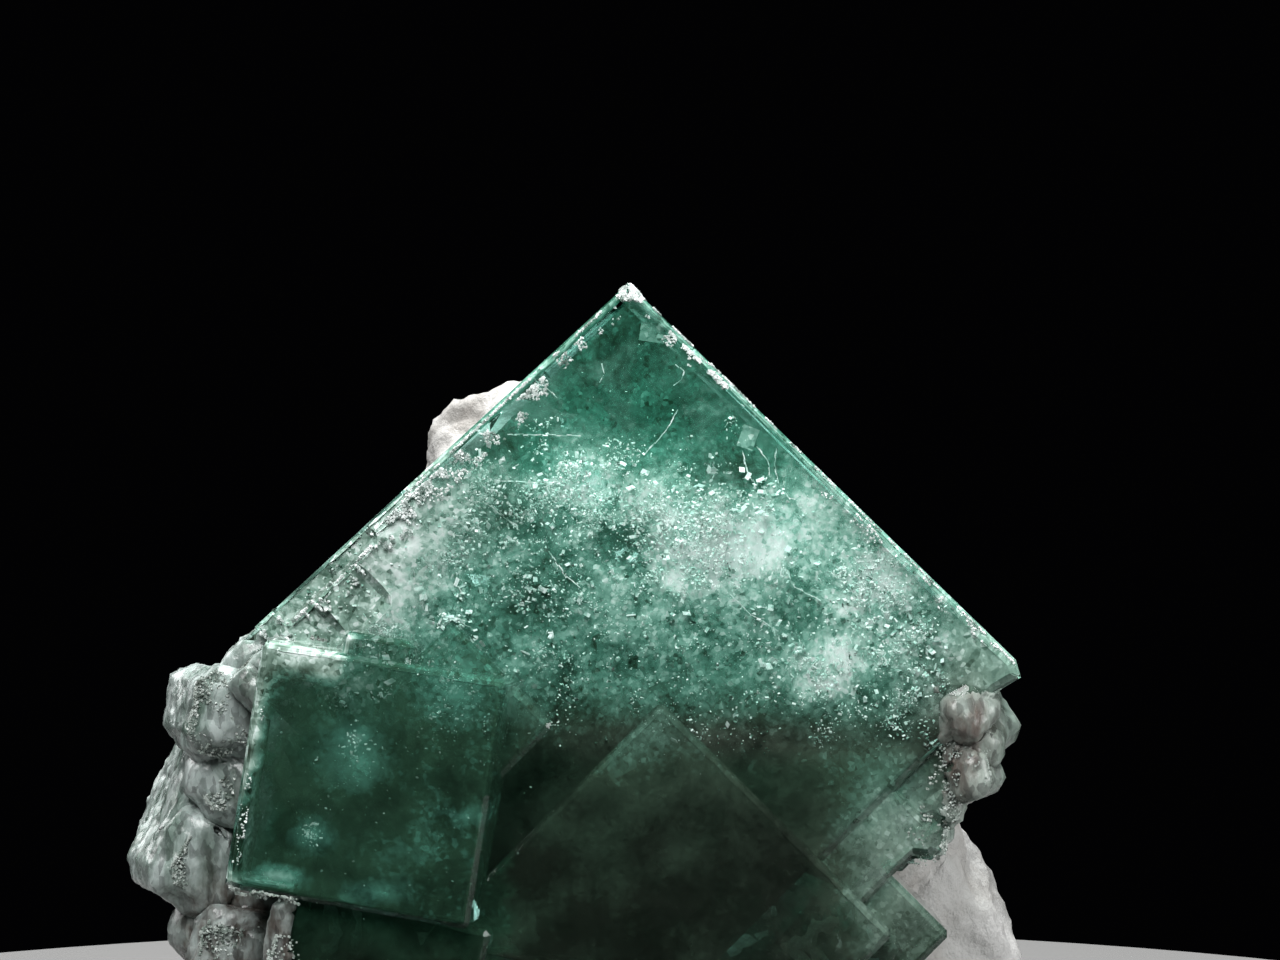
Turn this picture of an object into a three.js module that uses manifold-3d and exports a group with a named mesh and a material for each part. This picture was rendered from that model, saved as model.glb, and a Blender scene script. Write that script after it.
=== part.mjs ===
// A cluster of cube-shaped green fluorite crystals grown on a lump of white rock, in millimetres, +Z up.
// The largest cube stands on one corner with a flat face towards -Y, and the rock rests on a flat base.
import * as THREE from "three";
import { mergeVertices } from "three/addons/utils/BufferGeometryUtils.js";
import Module from "manifold-3d";

const wasm = await Module();
wasm.setup();

// Driving dimensions. Places are measured from the middle of the main crystal's front face.
const MAIN_TOP = 13.9; // middle of the face to the apex
const MAIN_LEFT = 15.0; // middle of the face to its left corner
const MAIN_RIGHT = 14.2; // middle of the face to its right corner
const MAIN_BOTTOM = 14.0; // middle of the face to its bottom corner
const MAIN_DEPTH = 16.0; // front face to back face
const FACE_HEIGHT = 16.5; // flat base to the middle of the face
const MAIN_CHAMFER = 0.3; // worn edge of the main crystal
const SMALL_CHAMFER = 0.18; // worn edge of the smaller crystals
const FLANK_CHAMFER = 0.55; // rounder edge of the frosted crystals on the left flank
const APEX_BLUNT = 0.55; // how far the apex is worn down
const CORNER_BLUNT = 0.9; // how far the right and left corners are worn down
const CONTACT_GAP = 0.3; // rock to crystal
const BREAKS_PER_LUMP = 13; // flat breaks on each lump of the rock
const BREAK_DEPTH = 0.93; // usual reach of a break, as a share of the lump's radius
const BREAK_SPREAD = 0.07; // how much that reach varies
const DIAMOND = Math.PI / 4; // turn that stands a cube on its corner

const degrees = (angle) => THREE.MathUtils.degToRad(angle);

// A closed solid from a three.js geometry, with its shared corners merged.
function solidOf(geometry) {
  const bare = geometry.clone();
  bare.deleteAttribute("normal");
  bare.deleteAttribute("uv");
  const merged = mergeVertices(bare, 1e-4);
  return new wasm.Manifold(
    new wasm.Mesh({
      numProp: 3,
      vertProperties: merged.attributes.position.array,
      triVerts: new Uint32Array(merged.index.array),
    }),
  );
}

// A flat-shaded three.js geometry from a closed solid.
function geometryOf(solid) {
  const mesh = solid.getMesh();
  const geometry = new THREE.BufferGeometry();
  geometry.setAttribute("position", new THREE.BufferAttribute(mesh.vertProperties, 3));
  geometry.setIndex(new THREE.BufferAttribute(mesh.triVerts, 1));
  const faceted = geometry.toNonIndexed();
  faceted.computeVertexNormals();
  return faceted;
}

const joined = (solids) => solids.reduce((whole, piece) => whole.add(piece));

// A prism whose outline lies in XZ, from its front face at y = front back to y = front + depth.
function prism(outline, front, depth, chamfer) {
  const shape = new THREE.Shape(outline.map(([x, z]) => new THREE.Vector2(x, z)));
  const geometry = new THREE.ExtrudeGeometry(shape, {
    depth: depth - 2 * chamfer,
    bevelEnabled: true,
    bevelThickness: chamfer,
    bevelSize: chamfer,
    bevelOffset: -chamfer,
    bevelSegments: 1,
  });
  geometry.translate(0, 0, chamfer);
  geometry.rotateX(Math.PI / 2);
  geometry.translate(0, front + depth, 0);
  return geometry;
}

// A square outline of the given edge about its middle, with its four corners cut off.
function squareOutline(edge, cut) {
  const half = edge / 2;
  return [
    [-half + cut, -half],
    [half - cut, -half],
    [half, -half + cut],
    [half, half - cut],
    [half - cut, half],
    [-half + cut, half],
    [-half, half - cut],
    [-half, -half + cut],
  ];
}

// A cube crystal. x and z place the middle of its front face and proud sets how far that stands in
// front of the main face. roll turns it in the plane of the face, and yaw turns it about the upright axis.
function cube({ x, z, edge, depth = edge, proud = 0, roll = DIAMOND, yaw = 0, chamfer = SMALL_CHAMFER }) {
  const geometry = prism(squareOutline(edge, chamfer), 0, depth, chamfer);
  geometry.rotateY(roll);
  geometry.rotateZ(yaw);
  geometry.translate(x, -proud, z);
  return solidOf(geometry);
}

// The main crystal: a square standing on its corner, with worn corners and a full 16 mm depth.
function mainCrystal() {
  const outline = [
    [-APEX_BLUNT, MAIN_TOP - APEX_BLUNT],
    [-MAIN_LEFT + CORNER_BLUNT, CORNER_BLUNT],
    [-MAIN_LEFT + CORNER_BLUNT * 0.4, 0],
    [-MAIN_LEFT + CORNER_BLUNT, -CORNER_BLUNT],
    [0, -MAIN_BOTTOM],
    [MAIN_RIGHT - CORNER_BLUNT, -CORNER_BLUNT],
    [MAIN_RIGHT, -CORNER_BLUNT * 0.4],
    [MAIN_RIGHT - CORNER_BLUNT * 0.2, CORNER_BLUNT * 0.3],
    [APEX_BLUNT, MAIN_TOP - APEX_BLUNT],
    [0, MAIN_TOP],
  ];
  return solidOf(prism(outline, 0, MAIN_DEPTH, MAIN_CHAMFER));
}

// Smaller cubes that share the main crystal's setting and show below its face.
const PARALLEL_CRYSTALS = [
  { x: 1.2, z: -9.5, edge: 11.8, depth: 9, proud: 0.9 },
  { x: 5.4, z: -5.9, edge: 8.2, depth: 9, proud: -0.25 },
  { x: 7.6, z: -9.7, edge: 5.8, depth: 8, proud: -0.7 },
  { x: 6.4, z: -14.2, edge: 6.6, depth: 9, proud: 0.2 },
  { x: -3.4, z: -14.6, edge: 7.4, depth: 10, proud: 0.5 },
  { x: 10.3, z: -3.2, edge: 4.2, depth: 7, proud: -0.5, chamfer: 0.4 },
  { x: 9.7, z: -5.2, edge: 3.6, depth: 6, proud: -0.9, chamfer: 0.4 },
];

// The cube at lower left, set at another angle, with its notched top corner and the crystals under it.
const CROSSED_CRYSTALS = [
  { x: -9.3, z: -4.0, edge: 8.9, depth: 9, proud: 2.6, roll: degrees(9), yaw: degrees(-7) },
  { x: -9.0, z: 0.0, edge: 2.5, depth: 5, proud: 2.2, roll: degrees(9), yaw: degrees(-7) },
  { x: -6.3, z: -2.0, edge: 5.2, depth: 6, proud: 1.0, roll: DIAMOND, yaw: degrees(-4) },
  { x: -9.4, z: -12.1, edge: 7.6, depth: 9, proud: 1.7, roll: degrees(13), yaw: degrees(-5) },
  { x: -4.6, z: -12.6, edge: 5.2, depth: 7, proud: 1.5, roll: degrees(8), yaw: degrees(-7) },
];

// Frosted cubes that crowd the left flank, further back than the main face.
const FLANK_CRYSTALS = [
  { x: -12.2, z: -2.2, edge: 6.2, depth: 10, proud: -2.4, roll: degrees(40), yaw: degrees(6) },
  { x: -13.6, z: -6.0, edge: 6.2, depth: 9, proud: -4.0, roll: degrees(24), yaw: degrees(12) },
  { x: -13.2, z: -9.6, edge: 6.2, depth: 9, proud: -3.2, roll: degrees(38), yaw: degrees(-8) },
  { x: -12.4, z: -13.4, edge: 6.6, depth: 9, proud: -2.2, roll: degrees(20), yaw: degrees(10) },
  { x: -14.2, z: -1.8, edge: 2.8, depth: 5, proud: -1.4, roll: degrees(12), yaw: degrees(20) },
  { x: -14.8, z: -4.3, edge: 2.6, depth: 5, proud: -2.2, roll: degrees(52), yaw: degrees(-14) },
  { x: -15.4, z: -7.4, edge: 3.4, depth: 5, proud: -3.0, roll: degrees(33), yaw: degrees(18) },
  { x: -14.6, z: -10.8, edge: 3.2, depth: 4, proud: -1.9, roll: degrees(8), yaw: degrees(-16) },
  { x: -14.0, z: -14.2, edge: 3.6, depth: 5, proud: -1.2, roll: degrees(30), yaw: degrees(12) },
].map((crystal) => ({ ...crystal, chamfer: FLANK_CHAMFER }));

// Tiny crystals that crust the main crystal below its right corner, each turned its own way.
const CRUST_CRYSTALS = [
  { x: 12.4, z: -1.5, edge: 1.9, proud: 0.1 },
  { x: 12.5, z: -2.9, edge: 1.7, proud: -0.4 },
  { x: 12.0, z: -3.9, edge: 1.5, proud: 0.0 },
  { x: 11.5, z: -5.0, edge: 1.6, proud: -0.5 },
  { x: 10.6, z: -6.2, edge: 1.5, proud: -0.2 },
  { x: 12.4, z: -2.2, edge: 2.2, proud: -3.4 },
  { x: 11.8, z: -4.5, edge: 2.0, proud: -3.0 },
  { x: 10.8, z: -6.0, edge: 2.0, proud: -4.4 },
].map((crystal, index) => ({ ...crystal, depth: 2, roll: 0.8 + index, yaw: 0.3 - 0.4 * (index % 3), chamfer: 0.35 }));

// Steps and chips broken out of the main face along its left edge and out of the notch beside it.
const CLEAVAGE_CHIPS = [
  { x: -9.4, z: 6.2, edge: 2.2, depth: 4, proud: 3.55 },
  { x: -10.7, z: 4.6, edge: 2.4, depth: 4, proud: 3.35 },
  { x: -12.3, z: 3.3, edge: 2.6, depth: 4, proud: 3.2 },
  { x: -12.6, z: 1.2, edge: 3.4, depth: 4, proud: 3.45 },
  { x: -14.4, z: 0.8, edge: 2.2, depth: 5, proud: 2.6 },
  { x: -10.2, z: 2.4, edge: 2.4, depth: 4, proud: 3.7 },
  { x: 13.3, z: 2.2, edge: 1.6, depth: 2, proud: 0.6 },
  { x: 3.0, z: 11.6, edge: 1.1, depth: 3, proud: 2.5 },
];

// Rounded lumps that make up the rock. y is the distance behind the main face.
const ROCK_LUMPS = [
  { x: -1.0, y: 15.5, z: -9.0, rx: 13.2, ry: 8.6, rz: 10.5, seed: 1.3, detail: 7 },
  { x: 0.2, y: 15.6, z: 0.2, rx: 8.4, ry: 6.0, rz: 7.0, seed: 4.1, detail: 6 },
  { x: -4.9, y: 16.6, z: 6.9, rx: 3.5, ry: 3.6, rz: 3.5, seed: 7.7, detail: 4 },
  { x: 10.2, y: 16.4, z: -12.0, rx: 5.3, ry: 5.4, rz: 5.6, seed: 2.6, detail: 5 },
  { x: -9.6, y: 17.6, z: -10.5, rx: 6.6, ry: 6.2, rz: 7.6, seed: 9.2, detail: 5 },
  { x: 3.6, y: 20.4, z: -6.6, rx: 7.2, ry: 5.0, rz: 6.8, seed: 5.9, detail: 5 },
  { x: 0.5, y: 8.6, z: -13.4, rx: 9.0, ry: 5.2, rz: 6.2, seed: 3.4, detail: 5 },
];

// Even directions over a ball, numbered from one pole to the other.
function spreadDirection(index, count) {
  const height = 1 - (2 * index + 1) / count;
  const around = index * Math.PI * (3 - Math.sqrt(5));
  const radius = Math.sqrt(1 - height * height);
  return new THREE.Vector3(radius * Math.cos(around), radius * Math.sin(around), height);
}

// The flat breaks of one lump: each has a direction and how far out it cuts, as a share of the radius.
function rockBreaks(seed) {
  return Array.from({ length: BREAKS_PER_LUMP }, (_, index) => ({
    direction: spreadDirection(index, BREAKS_PER_LUMP).applyAxisAngle(new THREE.Vector3(1, 0, 0), seed),
    reach: BREAK_DEPTH + BREAK_SPREAD * Math.sin(5 * index + 3 * seed),
  }));
}

// How far the rock's surface stands out in one direction, as a share of the lump's radius.
function rockRelief(direction, seed, breaks) {
  const broad = Math.sin(3.1 * direction.x + seed) * Math.cos(2.7 * direction.y - 1.7 * seed);
  const knobs = Math.sin(7.3 * direction.z + 2.3 * seed) * Math.sin(6.9 * direction.y + 3 * direction.x + seed);
  const grain = Math.cos(13.7 * direction.x + 3 * seed) * Math.sin(15.9 * direction.z - 9 * direction.y);
  const broken = breaks.reduce((least, { direction: facing, reach }) => {
    const lean = facing.dot(direction);
    return lean > 0.2 ? Math.min(least, reach / lean) : least;
  }, 1.1);
  return broken + 0.03 * broad + 0.03 * knobs + 0.018 * grain;
}

// One lump of rock, grown all round by a given distance where it cuts its own bed.
function rockLump({ x, y, z, rx, ry, rz, seed, detail }, grow) {
  const geometry = new THREE.IcosahedronGeometry(1, detail);
  const position = geometry.attributes.position;
  const breaks = rockBreaks(seed);
  const point = new THREE.Vector3();
  for (let index = 0; index < position.count; index += 1) {
    point.fromBufferAttribute(position, index).normalize();
    const relief = rockRelief(point, seed, breaks);
    position.setXYZ(
      index,
      point.x * (rx * relief + grow),
      point.y * (ry * relief + grow),
      point.z * (rz * relief + grow),
    );
  }
  geometry.translate(x, y, z);
  return solidOf(geometry);
}

// Everything below the flat base, for cutting it off level.
function belowBase() {
  const slab = new THREE.BoxGeometry(100, 100, 40);
  slab.translate(0, 0, -FACE_HEIGHT - 20);
  return solidOf(slab);
}

// All the fluorite in one solid, cut back where the rock starts and level at the base.
function fluoriteSolid() {
  const crystals = [...PARALLEL_CRYSTALS, ...CROSSED_CRYSTALS, ...FLANK_CRYSTALS, ...CRUST_CRYSTALS];
  const chips = joined(CLEAVAGE_CHIPS.map(cube));
  const bed = joined(ROCK_LUMPS.map((lump) => rockLump(lump, CONTACT_GAP)));
  const grown = joined([mainCrystal().subtract(chips), ...crystals.map(cube)]);
  return grown.subtract(bed).subtract(belowBase());
}

// The rock in one solid, level at the base.
function rockSolid() {
  return joined(ROCK_LUMPS.map((lump) => rockLump(lump, 0))).subtract(belowBase());
}

const fluoriteMaterial = new THREE.MeshStandardMaterial({ color: 0x6fa893, roughness: 0.15, metalness: 0 });
const rockMaterial = new THREE.MeshStandardMaterial({ color: 0xd8dad3, roughness: 0.75, metalness: 0 });

const fluorite = new THREE.Mesh(geometryOf(fluoriteSolid()), fluoriteMaterial);
fluorite.name = "fluorite_crystals";
const rock = new THREE.Mesh(geometryOf(rockSolid()), rockMaterial);
rock.name = "white_rock";

// The origin is the middle of the footprint, on the flat base.
const specimen = new THREE.Group();
specimen.add(fluorite, rock);
const extent = new THREE.Box3().setFromObject(specimen);
const middle = extent.getCenter(new THREE.Vector3());
specimen.position.set(-middle.x, -middle.y, -extent.min.z);

export default specimen;
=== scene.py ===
"""A cluster of green cube-shaped fluorite crystals on a lump of white rock, dressed for a studio picture.

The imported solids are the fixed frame. The clear crystals, the rock and everything that shows inside or on
them are meshes built here in the same frame, in metres. Places on the crystals are given in millimetres from
the middle of the main crystal's front face: x to the right, y back into the crystal and z up.
"""

import logging
import math
import random
from collections.abc import Iterable, Iterator, Sequence
from dataclasses import dataclass, field
from enum import Enum
from functools import cached_property
from typing import NamedTuple

import bmesh
import bpy
from mathutils import Euler, Matrix, Quaternion, Vector, noise
from mathutils.bvhtree import BVHTree


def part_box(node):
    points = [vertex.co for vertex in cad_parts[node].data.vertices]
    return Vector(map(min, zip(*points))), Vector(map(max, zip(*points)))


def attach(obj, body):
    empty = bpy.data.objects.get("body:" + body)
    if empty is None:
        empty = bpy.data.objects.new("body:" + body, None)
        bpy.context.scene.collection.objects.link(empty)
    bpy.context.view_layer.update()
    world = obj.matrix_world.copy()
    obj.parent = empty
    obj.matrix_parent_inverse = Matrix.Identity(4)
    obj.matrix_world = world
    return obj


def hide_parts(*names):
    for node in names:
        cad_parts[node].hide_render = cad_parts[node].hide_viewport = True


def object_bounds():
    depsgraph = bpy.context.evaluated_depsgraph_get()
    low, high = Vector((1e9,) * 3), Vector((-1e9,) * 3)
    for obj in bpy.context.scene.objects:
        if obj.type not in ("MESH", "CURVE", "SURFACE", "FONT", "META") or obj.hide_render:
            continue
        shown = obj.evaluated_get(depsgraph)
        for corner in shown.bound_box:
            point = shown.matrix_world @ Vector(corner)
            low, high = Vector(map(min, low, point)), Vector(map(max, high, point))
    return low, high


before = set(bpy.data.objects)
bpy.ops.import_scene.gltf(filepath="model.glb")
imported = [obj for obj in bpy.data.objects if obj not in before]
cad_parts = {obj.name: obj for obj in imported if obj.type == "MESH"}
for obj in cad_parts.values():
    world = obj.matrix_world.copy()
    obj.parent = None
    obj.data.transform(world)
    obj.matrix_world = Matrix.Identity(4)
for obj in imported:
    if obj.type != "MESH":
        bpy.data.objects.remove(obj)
CAD_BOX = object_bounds()

LOG = logging.getLogger("fluorite")
MM = 0.001
BODY = "root"
CRYSTAL_NODE = "fluorite_crystals"
ROCK_NODE = "white_rock"

# How far inside the solids' box the added surfaces stay, how near points are welded, and how short an edge
# is taken out as a sliver's, in millimetres.
SKIN_MARGIN = 0.01
WELD = 0.002
SLIVER = 0.004
# How many small blocks are added to a mesh at a time.
BATCH = 200

Point = tuple[float, float, float]
Color = tuple[float, float, float, float]
Stops = Sequence[tuple[float, float]]
ColorStops = Sequence[tuple[float, Color]]
Socket = bpy.types.NodeSocket


@dataclass(frozen=True)
class MainFace:
    """The large crystal's front face, found from the crystals' box in the frame.

    The half diagonals and the depth are in millimetres, as they are in the part.
    """

    top: float = 13.9
    right: float = 14.2
    depth: float = 16.0

    @cached_property
    def middle(self) -> Vector:
        """The middle of the face, in metres."""
        _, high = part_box(CRYSTAL_NODE)
        return high - Vector((self.right, self.depth, self.top)) * MM

    def at(self, place: Point) -> Vector:
        """Turn a place on the crystals into a point of the frame.

        Args:
            place: Right, back and up from the middle of the face, in millimetres.

        Returns:
            The point in metres.
        """
        return self.middle + Vector(place) * MM


FACE = MainFace()


class Dress:
    """A node material under construction, with short calls for adding and joining its nodes."""

    def __init__(self, name: str) -> None:
        """Start an empty material.

        Args:
            name: The material's name.
        """
        self.material = bpy.data.materials.new(name)
        self.material.use_nodes = True
        self.tree = self.material.node_tree
        self.tree.nodes.clear()
        self.output = self.add("ShaderNodeOutputMaterial")
        self.place = self.add("ShaderNodeTexCoord").outputs["Object"]

    def stretch(self, shares: Point) -> None:
        """Stretch the patterns that are added from here on.

        Args:
            shares: How much of the distance still counts to the right, back and up.
        """
        node = self.add("ShaderNodeVectorMath", operation="MULTIPLY")
        node.inputs[1].default_value = shares
        self.join(self.place, node.inputs[0])
        self.place = node.outputs["Vector"]

    def add(self, kind: str, **values: object) -> bpy.types.Node:
        """Add a node and set its properties.

        Args:
            kind: The node's type name.
            **values: Properties of the node, by name.

        Returns:
            The new node.
        """
        node = self.tree.nodes.new(kind)
        for name, value in values.items():
            setattr(node, name, value)
        return node

    def join(self, source: Socket, target: Socket) -> None:
        """Link an output to an input."""
        self.tree.links.new(source, target)

    def surface(self, base: Color, roughness: float, ior: float) -> bpy.types.Node:
        """Add the main shader with its plain values.

        Args:
            base: Its colour.
            roughness: Its roughness.
            ior: Its index of refraction.

        Returns:
            The shader node.
        """
        shader = self.add("ShaderNodeBsdfPrincipled")
        shader.inputs["Base Color"].default_value = base
        shader.inputs["Roughness"].default_value = roughness
        shader.inputs["IOR"].default_value = ior
        return shader

    def noise(
        self, feature: float, detail: float = 4.0, distortion: float = 0.0, rough: float = 0.55
    ) -> Socket:
        """Add an even noise.

        Args:
            feature: The width of one patch, in millimetres.
            detail: How many finer layers it has.
            distortion: How far it swirls.
            rough: How strong the finer layers are.

        Returns:
            Its grey value.
        """
        node = self.add("ShaderNodeTexNoise")
        node.inputs["Scale"].default_value = 1.0 / (feature * MM)
        node.inputs["Detail"].default_value = detail
        node.inputs["Distortion"].default_value = distortion
        node.inputs["Roughness"].default_value = rough
        self.join(self.place, node.inputs["Vector"])
        return node.outputs["Fac"]

    def grains(self, size: float) -> Socket:
        """Add close-set grains, each with a random grey value of its own.

        Args:
            size: The width of one grain, in millimetres.

        Returns:
            The grey value.
        """
        node = self.add("ShaderNodeTexVoronoi")
        node.inputs["Scale"].default_value = 1.0 / (size * MM)
        self.join(self.place, node.inputs["Vector"])
        split = self.add("ShaderNodeSeparateColor")
        self.join(node.outputs["Color"], split.inputs[0])
        return split.outputs[0]

    def curve(self, value: Socket, stops: Stops) -> Socket:
        """Turn a grey value into another, between 0 and 1, along a line through some stops."""
        return self.ramp(value, [(place, (level, level, level, 1.0)) for place, level in stops])

    def ramp(self, value: Socket, stops: ColorStops) -> Socket:
        """Turn a grey value into a colour.

        Args:
            value: The grey value.
            stops: Each stop's place and colour, in order.

        Returns:
            The colour.
        """
        node = self.add("ShaderNodeValToRGB")
        ramp = node.color_ramp
        while len(ramp.elements) < len(stops):
            ramp.elements.new(0.5)
        for element, (place, color) in zip(ramp.elements, stops, strict=True):
            element.position = place
            element.color = color
        self.join(value, node.inputs["Fac"])
        return node.outputs["Color"]

    def span(self, value: Socket, source: tuple[float, float], target: tuple[float, float]) -> Socket:
        """Stretch a value from one range to another, held at the ends.

        Args:
            value: The value.
            source: Its lowest and highest.
            target: What they become.

        Returns:
            The stretched value.
        """
        node = self.add("ShaderNodeMapRange")
        for side, (low, high) in (("From", source), ("To", target)):
            node.inputs[f"{side} Min"].default_value = low
            node.inputs[f"{side} Max"].default_value = high
        self.join(value, node.inputs["Value"])
        return node.outputs["Result"]

    def attribute(self, name: str) -> Socket:
        """Read a value that the piece's own points carry."""
        return self.add("ShaderNodeAttribute", attribute_name=name).outputs["Fac"]

    def combine(self, operation: str, first: Socket, second: Socket | float) -> Socket:
        """Combine two values.

        Args:
            operation: The arithmetic, such as MULTIPLY.
            first: One value.
            second: The other value, or a plain number.

        Returns:
            The result.
        """
        node = self.add("ShaderNodeMath", operation=operation)
        self.join(first, node.inputs[0])
        if isinstance(second, float):
            node.inputs[1].default_value = second
        else:
            self.join(second, node.inputs[1])
        return node.outputs[0]

    def relief(self, height: Socket, depth: float, shader: bpy.types.Node, strength: float = 1.0) -> None:
        """Give a shader fine relief.

        Args:
            height: The relief's height, from 0 to 1.
            depth: How deep it is, in millimetres.
            shader: The shader that it shows on.
            strength: How much of it shows.
        """
        node = self.add("ShaderNodeBump")
        node.inputs["Strength"].default_value = strength
        node.inputs["Distance"].default_value = depth * MM
        self.join(height, node.inputs["Height"])
        self.join(node.outputs["Normal"], shader.inputs["Normal"])

    def finish(self, surface: Socket) -> bpy.types.Material:
        """Join the surface to the output and hand over the material."""
        self.join(surface, self.output.inputs["Surface"])
        return self.material


@dataclass(frozen=True)
class ClearFluorite:
    """The clear green crystal: plain transmission with a teal body colour, lightly frosted in patches.

    The patches and the ripple are in millimetres. Light on its way from a lamp keeps the shadow colour.
    """

    ior: float = 1.434
    body: Color = (0.18, 0.80, 0.70, 1.0)
    density: float = 58.0
    patch: float = 2.6
    patch_roughness: tuple[float, float] = (0.01, 0.06)
    ripple: float = 1.7
    shadow: Color = (0.86, 0.97, 0.94, 1.0)

    def material(self) -> bpy.types.Material:
        """Make the material.

        Returns:
            The clear green fluorite, with its absorption.
        """
        dress = Dress("clear_green_fluorite")
        shader = dress.surface((1.0, 1.0, 1.0, 1.0), 0.02, self.ior)
        shader.inputs["Transmission Weight"].default_value = 1.0
        patches = dress.noise(self.patch, 6.0, 0.4)
        dress.join(dress.span(patches, (0.5, 0.72), self.patch_roughness), shader.inputs["Roughness"])
        dress.relief(dress.noise(self.ripple, 3.0), 0.02, shader, 0.35)
        lamps = dress.add("ShaderNodeBsdfTransparent")
        lamps.inputs["Color"].default_value = self.shadow
        path = dress.add("ShaderNodeLightPath")
        mixed = dress.add("ShaderNodeMixShader")
        dress.join(path.outputs["Is Shadow Ray"], mixed.inputs[0])
        dress.join(shader.outputs[0], mixed.inputs[1])
        dress.join(lamps.outputs[0], mixed.inputs[2])
        volume = dress.add("ShaderNodeVolumeAbsorption")
        volume.inputs["Color"].default_value = self.body
        volume.inputs["Density"].default_value = self.density
        dress.join(volume.outputs[0], dress.output.inputs["Volume"])
        return dress.finish(mixed.outputs[0])


@dataclass(frozen=True)
class WhiteRockFinish:
    """The rock: white with a fine sugary grain, darkened towards the back by painted shade, and dark brown
    under the lower crystals, partly a brown stain and partly painted shade.

    The limits of the brown stain and painted shade are heights and distances in the frame, in millimetres.
    """

    stain_and_shade_back: float = 4.5
    stain_and_shade_front: float = 1.5
    stain_and_shade_top: float = 19.0
    stain_and_shade_full: float = 13.5
    stain_and_shade_right: float = 9.5
    back_shade_front: float = 2.0
    back_shade_back: float = 7.0
    back_shade_share: float = 0.6
    whites: ColorStops = (
        (0.30, (0.27, 0.25, 0.225, 1.0)),
        (0.38, (0.42, 0.41, 0.39, 1.0)),
        (0.48, (0.50, 0.50, 0.485, 1.0)),
        (0.70, (0.56, 0.56, 0.55, 1.0)),
    )
    stain_and_shade_browns: ColorStops = (
        (0.35, (0.030, 0.034, 0.024, 1.0)),
        (0.62, (0.11, 0.12, 0.085, 1.0)),
    )

    def material(self) -> bpy.types.Material:
        """Make the material.

        Returns:
            The white rock, with its brown stains and painted shade.
        """
        dress = Dress("white_sugary_rock")
        shader = dress.surface((0.8, 0.8, 0.78, 1.0), 0.55, 1.5)
        stains = dress.noise(5.0, 7.0, 0.6)
        white = dress.ramp(stains, self.whites)
        brown = dress.ramp(stains, self.stain_and_shade_browns)
        split = dress.add("ShaderNodeSeparateXYZ")
        dress.join(dress.place, split.inputs[0])
        right, back, up = split.outputs["X"], split.outputs["Y"], split.outputs["Z"]
        # painted shade, partly a brown stain: dark brown on the rock's front, low down and left of its right
        # side, behind the lower crystals
        ahead = dress.span(back, (self.stain_and_shade_back * MM, self.stain_and_shade_front * MM), (0.0, 1.0))
        below = dress.span(up, (self.stain_and_shade_top * MM, self.stain_and_shade_full * MM), (0.0, 1.0))
        beside = dress.span(right, (self.stain_and_shade_right * MM, (self.stain_and_shade_right + 1.0) * MM), (1.0, 0.0))
        mixed = dress.add("ShaderNodeMix", data_type="RGBA")
        stain_and_shade_share = dress.combine("MULTIPLY", dress.combine("MULTIPLY", ahead, below), beside)
        dress.join(stain_and_shade_share, mixed.inputs["Factor"])
        # painted shade: the rock's white darkens towards the back
        back_shaded = dress.add("ShaderNodeVectorMath", operation="SCALE")
        dress.join(white, back_shaded.inputs[0])
        behind = dress.span(back, (self.back_shade_front * MM, self.back_shade_back * MM), (1.0, self.back_shade_share))
        dress.join(behind, back_shaded.inputs["Scale"])
        dress.join(back_shaded.outputs[0], mixed.inputs["A"])
        dress.join(brown, mixed.inputs["B"])
        dress.join(mixed.outputs["Result"], shader.inputs["Base Color"])
        dress.join(dress.span(dress.grains(0.5), (0.0, 1.0), (0.25, 0.75)), shader.inputs["Roughness"])
        dress.relief(dress.noise(0.35, 5.0, 0.0, 0.65), 0.14, shader, 0.9)
        return dress.finish(shader.outputs[0])


@dataclass(frozen=True)
class GlintFinish:
    """Small breaks inside the crystal and tiny crystals on it, in tones that change from grain to grain."""

    name: str
    base: Color
    shade: Color
    deep: Color
    roughness: float
    coat: float = 0.6
    grain: float = 0.22
    relief: float = 0.01

    def material(self) -> bpy.types.Material:
        """Make the material.

        Returns:
            The glinting flakes' material.
        """
        dress = Dress(self.name)
        shader = dress.surface(self.base, self.roughness, 1.5)
        shader.inputs["Coat Weight"].default_value = self.coat
        shader.inputs["Coat Roughness"].default_value = 0.06
        stops = [(0.0, self.deep), (0.25, self.shade), (0.75, self.base)]
        dress.join(dress.ramp(dress.grains(self.grain), stops), shader.inputs["Base Color"])
        dress.relief(dress.noise(0.12, 2.0), self.relief, shader, 0.6)
        return dress.finish(shader.outputs[0])


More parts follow.
